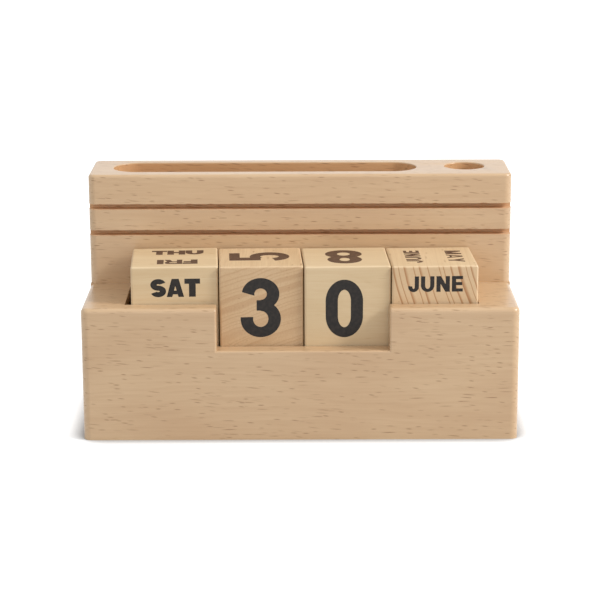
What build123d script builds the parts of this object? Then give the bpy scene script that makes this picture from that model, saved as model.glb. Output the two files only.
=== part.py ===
"""Wooden desk calendar: a low base with a pocket for four calendar blocks, a taller block
behind it with a card slot and a pen hole, and a drawer that slides out of the right end.

X runs to the right along the front, Y to the back and Z up, in millimetres.
The origin is on the table, under the middle of the body.
"""
from build123d import *
import math
import os

# Calendar blocks: each is loose and stands turned by a few degrees
block_size = 40.0        # height and depth of every block
block_edge_radius = 1.0
block_gap = 0.45         # between two neighbours, at the front
weekday_width = 40.9
weekday_turn = 2.7
tens_width = 39.4
tens_turn = 2.4
units_width = 40.5
units_turn = 2.1
month_width = 40.4
month_turn = 2.2

# Clearances
seat_clearance = 0.3     # a loose piece and what it stands on or against
drawer_clearance = 0.4   # drawer to the boards at its sides and above it
left_play = 3.1          # free room in the pocket to the left of the blocks
right_play = 0.4         # free room in the pocket to the right of the blocks

# Boards of the base
body_length = 204.6
base_height = 63.7
front_board_thickness = 8.5
back_board_thickness = 8.5
bottom_board_thickness = 6.0
pocket_floor_thickness = 6.0
left_end_thickness = 12.0
drawer_bay_height = 29.3
pocket_shift = 0.75      # middle of the pocket, to the right of the body's middle

# Window in the front board, before the two middle blocks
window_play = 0.4        # wider than the two blocks and their gap by this much
window_shift = -1.1      # middle of the window from the middle of the two blocks
window_lip = 2.0         # lip that stands above the pocket floor

# Rear block
body_height = 117.4
rear_block_depth = 40.5
slot_length = 148.6
slot_width = 24.8
slot_depth = 55.0
slot_end_wall = 10.8     # left end of the body to the slot
slot_front_wall = 8.3    # front face of the rear block to the slot
slot_to_pen_hole = 13.9  # wood between the slot and the pen hole
pen_hole_diameter = 19.6
pen_hole_depth = 65.0
pen_hole_shift = 1.5     # pen hole behind the middle line of the slot
kerf_count = 2
kerf_height = 2.6
kerf_depth = 5.8
kerf_drop = 14.4         # top of the body to the upper kerf
kerf_pitch = 12.8
dowel_diameter = 5.0
dowel_length = 24.0
dowel_count = 4
dowel_hole_extra = 1.0   # room for glue past each end of a dowel

# Drawer
drawer_front_thickness = 8.0
drawer_side_thickness = 6.0
drawer_panel_thickness = 3.0
drawer_panel_height = 4.0    # underside of the drawer to its bottom panel
drawer_groove_depth = 3.0
finger_notch_radius = 11.0
notch_cutter_length = 24.0   # longer than the front is thick on both sides

# Rounded edges
corner_radius = 3.5      # upright outer corners
rim_radius = 2.2         # top edges of the base
rear_rim_radius = 1.5    # top edges of the rear block
window_edge_radius = 1.0
mouth_edge_radius = 0.6  # mouths of the slot and the pen hole
drawer_edge_radius = 0.8

# How closely a face or an edge is picked by its place
near = 0.01
inside_rim = 0.1


# Width and turn of each block, from left to right
blocks = {
    "weekday_block": (weekday_width, math.radians(weekday_turn)),
    "tens_block": (tens_width, math.radians(tens_turn)),
    "units_block": (units_width, math.radians(units_turn)),
    "month_block": (month_width, math.radians(month_turn)),
}


def row_places():
    """Front left corners of the blocks from the left end of the row, and the row's length."""
    sizes = list(blocks.values())
    places = [0.0]
    for (width, turn), (_, following) in zip(sizes, sizes[1:]):
        step = math.cos(turn) + math.sin(turn) * math.tan(following)
        places.append(places[-1] + width * step + block_gap)
    last_width, last_turn = sizes[-1]
    return places, places[-1] + last_width * math.cos(last_turn)


def deepest_span():
    """Depth of the block that takes up the most from front to back as it stands turned."""
    spans = [width * math.sin(turn) + block_size * math.cos(turn) for width, turn in blocks.values()]
    return max(spans)


# Widths and heights that follow
block_places, row_length = row_places()
tens_place, month_place = block_places[1], block_places[3]
pocket_length = left_play + row_length + right_play
pocket_depth = seat_clearance + deepest_span() + seat_clearance
body_depth = front_board_thickness + pocket_depth + rear_block_depth

body_left = -body_length / 2
body_right = body_length / 2
body_front = -body_depth / 2
body_back = body_depth / 2
board_back = body_front + front_board_thickness      # inner face of the front board
back_board_front = body_back - back_board_thickness  # inner face of the back board
rear_block_front = body_back - rear_block_depth
pocket_left = pocket_shift - pocket_length / 2
pocket_right = pocket_shift + pocket_length / 2
row_left = pocket_left + left_play
pair_length = month_place - block_gap - tens_place   # the two middle blocks and their gap
window_middle = row_left + tens_place + pair_length / 2 + window_shift

bay_floor = bottom_board_thickness
bay_roof = bay_floor + drawer_bay_height
pocket_floor_top = bay_roof + pocket_floor_thickness
slot_middle_x = body_left + slot_end_wall + slot_length / 2
slot_middle_y = rear_block_front + slot_front_wall + slot_width / 2
pen_hole_x = slot_middle_x + slot_length / 2 + slot_to_pen_hole + pen_hole_diameter / 2


def block_between(x, y, z):
    """Box between two limits along each axis."""
    size = (x[1] - x[0], y[1] - y[0], z[1] - z[0])
    middle = ((x[0] + x[1]) / 2, (y[0] + y[1]) / 2, (z[0] + z[1]) / 2)
    return Pos(*middle) * Box(*size)


def edges_at(part, axis, x=None, y=None, z=None):
    """Straight edges along an axis whose middles lie at the given places."""
    wanted = [(index, place) for index, place in enumerate((x, y, z)) if place is not None]
    found = part.edges().filter_by(axis)
    for index, place in wanted:
        found = found.filter_by(lambda edge: abs(tuple(edge.center())[index] - place) < near)
    return found


def front_board():
    """Board across the front with the window and its low lip, rounded outside."""
    board = block_between((body_left, body_right), (body_front, board_back), (0, base_height))
    upright = edges_at(board, Axis.Z, y=body_front)
    board = fillet(upright, corner_radius)
    top_front = edges_at(board, Axis.X, y=body_front, z=base_height)
    board = fillet(top_front, rim_radius)
    half_width = (pair_length + window_play) / 2
    left = window_middle - half_width
    right = window_middle + half_width
    sill = pocket_floor_top + window_lip
    board -= block_between((left, right), (body_front, board_back), (sill, base_height))
    sill_edges = edges_at(board, Axis.X, z=sill)
    side_edges = edges_at(board, Axis.Z, x=left, y=body_front)
    side_edges += edges_at(board, Axis.Z, x=right, y=body_front)
    return fillet(sill_edges.filter_by(lambda edge: edge.center().Y < board_back - near)
                  + side_edges, window_edge_radius)


def back_board():
    """Board across the back, under the rear block, with blind holes for the dowels."""
    board = block_between(
        (body_left, body_right), (back_board_front, body_back), (0, pocket_floor_top)
    )
    board = fillet(edges_at(board, Axis.Z, y=body_back), corner_radius)
    return board - dowel_holes()


def bottom_board():
    """Floor of the drawer bay, between the front and back boards."""
    return block_between((body_left, body_right), (board_back, back_board_front), (0, bay_floor))


def pocket_floor():
    """Roof of the drawer bay, which the calendar blocks and the rear block stand on."""
    return block_between(
        (body_left, body_right), (board_back, back_board_front), (bay_roof, pocket_floor_top)
    )


def left_end_panel():
    """Panel that closes the left end of the drawer bay and stops the drawer."""
    return block_between(
        (body_left, body_left + left_end_thickness), (board_back, back_board_front),
        (bay_floor, bay_roof),
    )


def pocket_end(inner_x, outer_x):
    """Ledge piece at one end of the pocket, with its outer top edge rounded."""
    piece = block_between(
        (min(inner_x, outer_x), max(inner_x, outer_x)), (board_back, rear_block_front),
        (pocket_floor_top, base_height),
    )
    return fillet(edges_at(piece, Axis.Y, x=outer_x, z=base_height), rim_radius)


def dowel_places():
    """Middles of the dowels that pin the rear block to the back board."""
    step = body_length / dowel_count
    y = body_back - back_board_thickness / 2
    return [Pos(body_left + step * (index + 0.5), y, pocket_floor_top)
            for index in range(dowel_count)]


def dowel_holes():
    """Holes for the dowels, with room for glue at each end."""
    hole = Cylinder(dowel_diameter / 2, dowel_length + 2 * dowel_hole_extra)
    return [place * hole for place in dowel_places()]


def rear_block_dowels():
    """Dowels, half in the back board and half in the rear block."""
    dowel = Cylinder(dowel_diameter / 2, dowel_length)
    return Compound(children=[place * dowel for place in dowel_places()])


def rear_block():
    """Tall block with rounded corners, two saw kerfs, the card slot and the pen hole."""
    foot = block_between(
        (body_left, body_right), (rear_block_front, body_back), (pocket_floor_top, base_height)
    )
    foot = fillet(edges_at(foot, Axis.Z, y=body_back), corner_radius)
    tower = block_between(
        (body_left, body_right), (rear_block_front, body_back), (base_height, body_height)
    )
    tower = fillet(tower.edges().filter_by(Axis.Z), corner_radius)
    tower = fillet(tower.faces().sort_by(Axis.Z)[-1].edges(), rear_rim_radius)
    block = foot + tower
    for index in range(kerf_count):
        top = body_height - kerf_drop - index * kerf_pitch
        block -= block_between(
            (body_left, body_right), (rear_block_front, rear_block_front + kerf_depth),
            (top - kerf_height, top),
        )
    slot = extrude(SlotOverall(slot_length, slot_width), -slot_depth)
    block -= Pos(slot_middle_x, slot_middle_y, body_height) * slot
    hole = extrude(Circle(pen_hole_diameter / 2), -pen_hole_depth)
    block -= Pos(pen_hole_x, slot_middle_y + pen_hole_shift, body_height) * hole
    inner_top = block.edges().filter_by(
        lambda edge: abs(edge.center().Z - body_height) < near
        and abs(edge.center().Y - slot_middle_y) < (slot_width + pen_hole_diameter) / 2
        and edge.center().Y < body_back - rear_rim_radius - inside_rim
        and edge.center().Y > rear_block_front + rear_rim_radius + inside_rim
        and abs(edge.center().X) < body_right - rear_rim_radius - inside_rim
    )
    block = fillet(inner_top, mouth_edge_radius)
    return block - dowel_holes()


def calendar_block(place_in_row, width, turn):
    """Near-cube with softened edges, turned a little on its front left corner."""
    cube = fillet(Box(width, block_size, block_size).edges(), block_edge_radius)
    corner = Pos(width / 2, block_size / 2, block_size / 2) * cube
    place = Pos(
        row_left + place_in_row, board_back + seat_clearance, pocket_floor_top + seat_clearance
    )
    return place * Rot(0, 0, math.degrees(turn)) * corner


# Drawer limits, which the drawer's pieces share
drawer_left = body_left + left_end_thickness + seat_clearance
drawer_near = board_back + drawer_clearance
drawer_far = back_board_front - drawer_clearance
drawer_under = bay_floor + seat_clearance
drawer_top = bay_roof - drawer_clearance
drawer_front_inner = body_right - drawer_front_thickness
panel_under = drawer_under + drawer_panel_height
panel_top = panel_under + drawer_panel_thickness


def drawer_bottom():
    """Thin panel that sits in a groove all round the drawer."""
    reach = drawer_groove_depth
    return block_between(
        (drawer_left + drawer_side_thickness - reach, drawer_front_inner + reach),
        (drawer_near + drawer_side_thickness - reach, drawer_far - drawer_side_thickness + reach),
        (panel_under, panel_top),
    )


def drawer_front():
    """Front piece, flush with the right end of the body, with a half-round finger notch."""
    piece = block_between(
        (drawer_front_inner, body_right), (drawer_near, drawer_far), (drawer_under, drawer_top)
    )
    outer = piece.faces().sort_by(Axis.X)[-1].edges()
    piece = fillet(outer, drawer_edge_radius)
    notch = Rot(0, 90, 0) * Cylinder(finger_notch_radius, notch_cutter_length)
    middle = (drawer_near + drawer_far) / 2
    piece -= Pos(drawer_front_inner, middle, drawer_top) * notch
    return piece - drawer_bottom()


def drawer_side(outer_y, inner_y):
    """One long side of the drawer, behind the front piece."""
    side = block_between(
        (drawer_left, drawer_front_inner), (min(outer_y, inner_y), max(outer_y, inner_y)),
        (drawer_under, drawer_top),
    )
    return side - drawer_bottom()


def drawer_inner_end():
    """Short end piece between the drawer's sides."""
    piece = block_between(
        (drawer_left, drawer_left + drawer_side_thickness),
        (drawer_near + drawer_side_thickness, drawer_far - drawer_side_thickness),
        (drawer_under, drawer_top),
    )
    return piece - drawer_bottom()


nodes = {
    "front_board": front_board(),
    "back_board": back_board(),
    "bottom_board": bottom_board(),
    "pocket_floor": pocket_floor(),
    "left_end_panel": left_end_panel(),
    "left_pocket_end": pocket_end(pocket_left, body_left),
    "right_pocket_end": pocket_end(pocket_right, body_right),
    "rear_block": rear_block(),
    "rear_block_dowels": rear_block_dowels(),
    "drawer_front": drawer_front(),
    "drawer_near_side": drawer_side(drawer_near, drawer_near + drawer_side_thickness),
    "drawer_far_side": drawer_side(drawer_far, drawer_far - drawer_side_thickness),
    "drawer_inner_end": drawer_inner_end(),
    "drawer_bottom": drawer_bottom(),
}
for place_in_row, (name, (width, turn)) in zip(block_places, blocks.items()):
    nodes[name] = calendar_block(place_in_row, width, turn)

os.makedirs("parts", exist_ok=True)
for name, part in nodes.items():
    export_step(part, f"parts/{name}.step")
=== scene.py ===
"""Wooden desk calendar with loose date blocks and a drawer: its finishes, legends and studio.

Lengths are metres, and names that end in _mm hold millimetres. X runs to the right along the
front, Y to the back and Z up, with the origin on the table under the middle of the body.
"""

import logging
import math
import random
from collections.abc import Iterator
from contextlib import contextmanager
from dataclasses import dataclass, field, replace
from enum import Enum

import bmesh
import bpy
from mathutils import Matrix, Vector


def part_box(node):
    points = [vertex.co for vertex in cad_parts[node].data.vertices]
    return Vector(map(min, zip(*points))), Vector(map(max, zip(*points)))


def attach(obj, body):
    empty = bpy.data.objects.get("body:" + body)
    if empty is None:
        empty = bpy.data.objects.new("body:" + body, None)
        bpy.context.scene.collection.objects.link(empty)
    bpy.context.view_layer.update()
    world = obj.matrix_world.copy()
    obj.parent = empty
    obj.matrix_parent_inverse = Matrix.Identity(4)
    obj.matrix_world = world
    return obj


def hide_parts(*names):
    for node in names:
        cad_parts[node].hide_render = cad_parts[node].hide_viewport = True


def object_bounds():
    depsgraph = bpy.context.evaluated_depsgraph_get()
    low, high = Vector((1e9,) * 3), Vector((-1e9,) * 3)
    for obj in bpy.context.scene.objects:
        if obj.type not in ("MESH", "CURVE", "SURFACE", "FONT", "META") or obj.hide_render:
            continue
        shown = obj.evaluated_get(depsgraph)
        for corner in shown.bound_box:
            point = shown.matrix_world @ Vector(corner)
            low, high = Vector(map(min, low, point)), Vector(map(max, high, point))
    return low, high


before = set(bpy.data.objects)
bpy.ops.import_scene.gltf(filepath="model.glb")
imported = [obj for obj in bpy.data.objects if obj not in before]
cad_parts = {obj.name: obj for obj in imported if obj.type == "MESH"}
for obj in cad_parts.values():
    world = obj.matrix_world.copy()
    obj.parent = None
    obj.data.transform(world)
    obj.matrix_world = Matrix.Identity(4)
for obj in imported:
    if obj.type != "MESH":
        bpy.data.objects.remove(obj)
CAD_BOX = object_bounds()

MM = 0.001
log = logging.getLogger("desk_calendar")

Socket = bpy.types.NodeSocket
Tree = bpy.types.NodeTree
Section = tuple[tuple[float, float], tuple[float, float]]
Placed = tuple[list[tuple[Vector, Vector]], bool]


def linear(hex_colour: str) -> tuple[float, float, float, float]:
    """Turns an sRGB hex colour into linear light.

    Args:
        hex_colour: Six hex digits with a leading #.

    Returns:
        Red, green, blue and an alpha of one.
    """
    levels = [int(hex_colour[place:place + 2], 16) / 255 for place in (1, 3, 5)]
    light = [
        level / 12.92 if level <= 0.04045 else ((level + 0.055) / 1.055) ** 2.4
        for level in levels
    ]
    return (light[0], light[1], light[2], 1.0)


def add(
    tree: Tree, kind: str, links: dict[str | int, object] | None = None, **settings: object,
) -> bpy.types.Node:
    """Adds one node with its settings and links.

    Args:
        tree: Node tree that takes the node.
        kind: Node type.
        links: Input name or index, with the socket to link or the value to set there.
        settings: Properties of the node itself.

    Returns:
        The new node.
    """
    node = tree.nodes.new(kind)
    for name, value in settings.items():
        setattr(node, name, value)
    for place, value in (links or {}).items():
        if isinstance(value, Socket):
            tree.links.new(value, node.inputs[place])
        else:
            node.inputs[place].default_value = value
    return node


def blank_material(name: str) -> tuple[bpy.types.Material, Tree]:
    """Makes a material with an empty node tree.

    Args:
        name: Name of the material.

    Returns:
        The material and its tree.
    """
    material = bpy.data.materials.new(name)
    material.use_nodes = True
    material.node_tree.nodes.clear()
    return material, material.node_tree


def dress(node: str, material: bpy.types.Material) -> None:
    """Gives a plain piece of the frame its finish.

    Args:
        node: Name of its node.
        material: Its finish.
    """
    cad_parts[node].material_slots[0].material = material
    log.info("%s is dressed", node)


def put(name: str, data: bpy.types.ID) -> bpy.types.Object:
    """Puts a mesh, a lamp or a camera into the scene.

    Args:
        name: Name of the object.
        data: Its mesh, lamp or camera.

    Returns:
        The new object, which no body carries yet.
    """
    placed = bpy.data.objects.new(name, data)
    bpy.context.scene.collection.objects.link(placed)
    return placed


@contextmanager
def opened(data: bpy.types.Mesh) -> Iterator[bmesh.types.BMesh]:
    """Opens a mesh for editing, and writes it back at the end.

    Args:
        data: The mesh.

    Yields:
        The mesh in its editable form.
    """
    mesh = bmesh.new()
    mesh.from_mesh(data)
    yield mesh
    mesh.to_mesh(data)
    mesh.free()


class Boolean(Enum):
    """What happens to a piece where a second solid lies."""

    CARVED_AWAY = "DIFFERENCE"
    JOINED_ON = "UNION"


def combine(piece: bpy.types.Object, tool: bpy.types.Object, way: Boolean) -> None:
    """Carves a solid out of a piece or joins it on, and removes that solid.

    Args:
        piece: Piece that is changed.
        tool: The second solid.
        way: Whether it is carved away or joined on.
    """
    modifier = piece.modifiers.new("boolean", "BOOLEAN")
    modifier.object = tool
    modifier.operation = way.value
    modifier.solver = "EXACT"
    graph = bpy.context.evaluated_depsgraph_get()
    result = bpy.data.meshes.new_from_object(piece.evaluated_get(graph), depsgraph=graph)
    piece.modifiers.clear()
    old = piece.data
    piece.data = result
    bpy.data.meshes.remove(old)
    bpy.data.objects.remove(tool)


def loose_mesh(name: str, mesh: bmesh.types.BMesh) -> bpy.types.Object:
    """Writes a mesh to a new object, with its faces turned outward.

    Args:
        name: Name of the object.
        mesh: Its mesh, which is freed.

    Returns:
        The new object.
    """
    bmesh.ops.recalc_face_normals(mesh, faces=mesh.faces)
    data = bpy.data.meshes.new(name)
    mesh.to_mesh(data)
    mesh.free()
    return put(name, data)


def close_tube(mesh: bmesh.types.BMesh, rings: list[list[bmesh.types.BMVert]], closed: bool) -> None:
    """Joins rings of four points into a tube, with end faces where it isn't a ring itself.

    Args:
        mesh: Mesh that takes the faces.
        rings: Four points of each cross-section.
        closed: Whether the last section joins the first.
    """
    count = len(rings)
    for step in range(count if closed else count - 1):
        here = rings[step]
        following = rings[(step + 1) % count]
        for side in range(4):
            other = (side + 1) % 4
            mesh.faces.new((here[side], here[other], following[other], following[side]))
    if not closed:
        mesh.faces.new(rings[0])
        mesh.faces.new(rings[-1])


class Grain(Enum):
    """Direction of the wood fibres: the turn that lays them along X for the pattern."""

    LENGTHWISE = (0.0, 0.0, 0.0)
    CROSSWISE = (0.0, 0.0, -90.0)
    UPRIGHT = (0.0, 90.0, 0.0)


@dataclass(frozen=True)
class Wood:
    """Solid wood cut from a log: growth rings, fibres and rays that run through the piece.

    All lengths are millimetres on the real wood. The fibres run along X of the pattern, and the
    rings lie round a pith that is far from the piece. Rings show more on end grain than along it.

    Attributes:
        late_wood: Shares of a year at which the dark late wood begins and is darkest.
        ring_waver: How far the rings stray from circles.
        waver_size: Length, depth and height over which they stray.
        end_facing: How squarely a surface faces along the fibres before it shows end grain, and
            when it shows nothing else.
        fibre_size: Length, depth and height of a bundle of fibres. Single fibres are 0.02 mm
            thick, so they are drawn in bundles that the eye can see.
        fleck_room: Length, depth and height of the space that holds one ray fleck.
        fleck_lengths: Shortest and longest fleck, as shares of the usual one.
        fleck_fade: Where a fleck starts to fade and where it ends, in half sizes from its middle.
        fleck_lean: Slope of the flecks against the fibres, from least to most.
        patch_size: Width of the paler and darker patches, which are patch_stretch times as dense
            along the fibres.
        rounding_facing: How squarely a surface faces an axis where a rounded edge begins, and
            where it is fully pale.
        sheen: What the fibres take from the roughness and add to it.
        fleck_dulling: What a fleck adds to the roughness.
        relief_mm: Height of the fibres.
    """

    name: str
    pale: str
    deep: str
    ring_colour: str
    fleck_colour: str
    edge_wear_and_highlight_colour: str
    ring_spacing: float = 2.6
    ring_strength: float = 0.12
    end_ring_strength: float = 0.40
    end_shade: float = 0.0
    late_wood: tuple[float, float] = (0.35, 0.94)
    ring_waver: float = 2.2
    waver_size: tuple[float, float, float] = (70.0, 22.0, 22.0)
    end_facing: tuple[float, float] = (0.3, 0.9)
    pith: tuple[float, float] = (-160.0, -60.0)
    fibre_size: tuple[float, float, float] = (22.0, 0.8, 0.8)
    fibre_strength: float = 0.12
    fleck_strength: float = 0.85
    fleck_share: float = 0.80
    fleck_size: tuple[float, float, float] = (6.0, 1.2, 0.58)
    fleck_room: tuple[float, float, float] = (6.8, 1.7, 1.7)
    fleck_lengths: tuple[float, float] = (0.45, 1.35)
    fleck_fade: tuple[float, float] = (0.3, 1.25)
    fleck_lean: tuple[float, float] = (-0.03, 0.15)
    patch_size: float = 26.0
    patch_stretch: float = 0.4
    edge_wear_and_highlight_strength: float = 0.10
    rounding_facing: tuple[float, float] = (0.98, 0.80)
    roughness: float = 0.33
    sheen: tuple[float, float] = (0.05, 0.07)
    fleck_dulling: float = 0.08
    relief_mm: float = 0.05
    coat: float = 0.0
    coat_roughness: float = 0.25
    ior: float = 1.5

    def material(
        self, grain: Grain, shift: tuple[float, float, float] = (0.0, 0.0, 0.0),
    ) -> bpy.types.Material:
        """Makes the node material.

        Args:
            grain: Direction of the fibres.
            shift: Place of the piece in its plank, in millimetres, so that no two boards match.

        Returns:
            The material.
        """
        material, tree = blank_material(f"{self.name}_{grain.name.lower()}")
        place = add(tree, "ShaderNodeTexCoord")
        turn = tuple(math.radians(angle) for angle in grain.value)
        plank = add(tree, "ShaderNodeMapping", {
            "Vector": place.outputs["Object"], "Scale": (1 / MM, 1 / MM, 1 / MM),
            "Rotation": turn, "Location": shift,
        }).outputs[0]
        facing = add(tree, "ShaderNodeMapping", {
            "Vector": place.outputs["Normal"], "Rotation": turn,
        }, vector_type="VECTOR").outputs[0]
        rings = self._rings(tree, plank, facing)
        fibres = self._fibres(tree, plank)
        flecks = self._flecks(tree, plank)
        surface = add(tree, "ShaderNodeBsdfPrincipled", {
            "Base Color": self._colour(tree, plank, rings, fibres, flecks),
            "Roughness": self._roughness(tree, fibres, flecks),
            "Normal": self._relief(tree, fibres, flecks),
            "IOR": self.ior,
            "Coat Weight": self.coat,
            "Coat Roughness": self.coat_roughness,
        })
        add(tree, "ShaderNodeOutputMaterial", {"Surface": surface.outputs[0]})
        return material

    def _rings(self, tree: Tree, plank: Socket, facing: Socket) -> Socket:
        """Builds the growth rings, pale early wood that darkens to a sharp late-wood line.

        Args:
            tree: Node tree of the material.
            plank: Place in the plank, in millimetres.
            facing: Direction that the surface faces, in the plank.

        Returns:
            Share of the ring colour.
        """
        slow = add(tree, "ShaderNodeMapping", {
            "Vector": plank, "Scale": tuple(1 / size for size in self.waver_size),
        })
        waver = add(tree, "ShaderNodeTexNoise", {
            "Vector": slow.outputs[0], "Scale": 1.0, "Detail": 2.0,
        })
        centred = add(tree, "ShaderNodeVectorMath", {
            0: waver.outputs["Color"], 1: (0.5, 0.5, 0.5),
        }, operation="SUBTRACT")
        reach = self.ring_waver * 4
        offset = add(tree, "ShaderNodeVectorMath", {
            0: centred.outputs[0], 1: (0.0, reach, reach),
        }, operation="MULTIPLY")
        warped = add(tree, "ShaderNodeVectorMath", {0: plank, 1: offset.outputs[0]}, operation="ADD")
        from_pith = add(tree, "ShaderNodeVectorMath", {
            0: warped.outputs[0], 1: (0.0, self.pith[0], self.pith[1]),
        }, operation="SUBTRACT")
        across = add(tree, "ShaderNodeVectorMath", {
            0: from_pith.outputs[0], 1: (0.0, 1.0, 1.0),
        }, operation="MULTIPLY")
        radius = add(tree, "ShaderNodeVectorMath", {0: across.outputs[0]}, operation="LENGTH")
        count = add(tree, "ShaderNodeMath", {
            0: radius.outputs["Value"], 1: self.ring_spacing,
        }, operation="DIVIDE").outputs[0]
        years = add(tree, "ShaderNodeTexNoise", {
            "W": count, "Scale": 0.35, "Detail": 1.0,
        }, noise_dimensions="1D")
        uneven = add(tree, "ShaderNodeMath", {
            0: years.outputs[0], 1: 3.0, 2: count,
        }, operation="MULTIPLY_ADD")
        season = add(tree, "ShaderNodeMath", {0: uneven.outputs[0]}, operation="FRACT").outputs[0]
        begins, darkest = self.late_wood
        late = add(tree, "ShaderNodeMapRange", {
            "Value": season, "From Min": begins, "From Max": darkest,
        }, interpolation_type="SMOOTHSTEP")
        stop = add(tree, "ShaderNodeMapRange", {
            "Value": season, "From Min": darkest, "From Max": 1.0, "To Min": 1.0, "To Max": 0.0,
        })
        line = add(tree, "ShaderNodeMath", {
            0: late.outputs[0], 1: stop.outputs[0],
        }, operation="MULTIPLY")
        along = add(tree, "ShaderNodeSeparateXYZ", {0: facing})
        end = add(tree, "ShaderNodeMath", {0: along.outputs[0]}, operation="ABSOLUTE")
        side_grain, end_grain = self.end_facing
        strength = add(tree, "ShaderNodeMapRange", {
            "Value": end.outputs[0], "From Min": side_grain, "From Max": end_grain,
            "To Min": self.ring_strength, "To Max": self.end_ring_strength,
        })
        # End grain soaks up light between its open pores, so it is darker all over.
        shade = add(tree, "ShaderNodeMapRange", {
            "Value": end.outputs[0], "From Min": side_grain, "From Max": end_grain,
            "To Max": self.end_shade,
        })
        return add(tree, "ShaderNodeMath", {
            0: line.outputs[0], 1: strength.outputs[0], 2: shade.outputs[0],
        }, operation="MULTIPLY_ADD", use_clamp=True).outputs[0]

    def _fibres(self, tree: Tree, plank: Socket) -> Socket:
        """Builds the fibres, in bundles that are thick enough to show.

        Args:
            tree: Node tree of the material.
            plank: Place in the plank, in millimetres.

        Returns:
            Noise from 0 to 1, drawn out along the grain.
        """
        bundle = add(tree, "ShaderNodeMapping", {
            "Vector": plank, "Scale": tuple(1 / size for size in self.fibre_size),
        })
        return add(tree, "ShaderNodeTexNoise", {
            "Vector": bundle.outputs[0], "Scale": 1.0, "Detail": 4.0, "Roughness": 0.6,
        }).outputs[0]

    def _flecks(self, tree: Tree, plank: Socket) -> Socket:
        """Builds the ends of the rays, one thin lens in some of the cells of a stretched lattice.

        Args:
            tree: Node tree of the material.
            plank: Place in the plank, in millimetres.

        Returns:
            Fleck from 0 to 1.
        """
        room = self.fleck_room
        cell = add(tree, "ShaderNodeVectorMath", {0: plank, 1: room}, operation="DIVIDE").outputs[0]
        lattice = add(tree, "ShaderNodeTexVoronoi", {"Vector": cell, "Scale": 1.0, "Randomness": 1.0})
        apart = add(tree, "ShaderNodeVectorMath", {
            0: cell, 1: lattice.outputs["Position"],
        }, operation="SUBTRACT")
        away = add(tree, "ShaderNodeVectorMath", {0: apart.outputs[0], 1: room}, operation="MULTIPLY")
        chance = add(tree, "ShaderNodeSeparateColor", {0: lattice.outputs["Color"]})
        lean = add(tree, "ShaderNodeMapRange", {
            "Value": chance.outputs[0], "To Min": self.fleck_lean[0], "To Max": self.fleck_lean[1],
        })
        part = add(tree, "ShaderNodeSeparateXYZ", {0: away.outputs[0]})
        level = add(tree, "ShaderNodeMath", {
            0: part.outputs[0], 1: lean.outputs[0], 2: part.outputs[2],
        }, operation="MULTIPLY_ADD")
        long_by = add(tree, "ShaderNodeMapRange", {
            "Value": chance.outputs[1],
            "To Min": self.fleck_lengths[0], "To Max": self.fleck_lengths[1],
        })
        length = add(tree, "ShaderNodeMath", {
            0: part.outputs[0], 1: long_by.outputs[0],
        }, operation="DIVIDE")
        lens = add(tree, "ShaderNodeCombineXYZ", {
            0: length.outputs[0], 1: part.outputs[1], 2: level.outputs[0],
        })
        half = tuple(size / 2 for size in self.fleck_size)
        scaled = add(tree, "ShaderNodeVectorMath", {0: lens.outputs[0], 1: half}, operation="DIVIDE")
        distance = add(tree, "ShaderNodeVectorMath", {0: scaled.outputs[0]}, operation="LENGTH")
        spot = add(tree, "ShaderNodeMapRange", {
            "Value": distance.outputs["Value"],
            "From Min": self.fleck_fade[0], "From Max": self.fleck_fade[1],
            "To Min": 1.0, "To Max": 0.0,
        }, interpolation_type="SMOOTHSTEP")
        chosen = add(tree, "ShaderNodeMapRange", {
            "Value": chance.outputs[2], "From Min": 1 - self.fleck_share, "From Max": 1.0,
        })
        depth = add(tree, "ShaderNodeMath", {0: chosen.outputs[0], 1: 0.5}, operation="POWER")
        return add(tree, "ShaderNodeMath", {
            0: spot.outputs[0], 1: depth.outputs[0],
        }, operation="MULTIPLY").outputs[0]

    def _colour(
        self, tree: Tree, plank: Socket, rings: Socket, fibres: Socket, flecks: Socket,
    ) -> Socket:
        """Lays the patches, rings, fibres and flecks over each other, with paler rounded edges that are
        partly sanded wear and partly painted highlight.

        Args:
            tree: Node tree of the material.
            plank: Place in the plank, in millimetres.
            rings: Share of the ring colour.
            fibres: Fibre noise from 0 to 1.
            flecks: Ray flecks from 0 to 1.

        Returns:
            The colour of the wood.
        """
        share, below, above, mixed = 0, 6, 7, 2
        size = self.patch_size
        broad = add(tree, "ShaderNodeMapping", {
            "Vector": plank, "Scale": (self.patch_stretch / size, 1 / size, 1 / size),
            "Location": (3.1, 7.7, 1.3),
        })
        patch = add(tree, "ShaderNodeTexNoise", {
            "Vector": broad.outputs[0], "Scale": 1.0, "Detail": 3.0,
        })
        tone = add(tree, "ShaderNodeMapRange", {
            "Value": patch.outputs[0], "From Min": 0.3, "From Max": 0.7,
        })
        base = add(tree, "ShaderNodeMix", {
            share: tone.outputs[0], below: linear(self.pale), above: linear(self.deep),
        }, data_type="RGBA")
        ringed = add(tree, "ShaderNodeMix", {
            share: rings, below: base.outputs[mixed], above: linear(self.ring_colour),
        }, data_type="RGBA")
        streak = add(tree, "ShaderNodeMapRange", {
            "Value": fibres, "From Min": 0.3, "From Max": 0.7,
            "To Min": 0.0, "To Max": self.fibre_strength * 2,
        })
        streaked = add(tree, "ShaderNodeMix", {
            share: streak.outputs[0], below: ringed.outputs[mixed], above: linear(self.ring_colour),
        }, data_type="RGBA")
        dark = add(tree, "ShaderNodeMath", {0: flecks, 1: self.fleck_strength}, operation="MULTIPLY")
        flecked = add(tree, "ShaderNodeMix", {
            share: dark.outputs[0], below: streaked.outputs[mixed], above: linear(self.fleck_colour),
        }, data_type="RGBA")
        # Rounded edges turn paler: partly sanded wear, partly a painted highlight where they catch the
        # light.
        return add(tree, "ShaderNodeMix", {
            share: self._edges(tree), below: flecked.outputs[mixed], above: linear(self.edge_wear_and_highlight_colour),
        }, data_type="RGBA").outputs[mixed]

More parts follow.
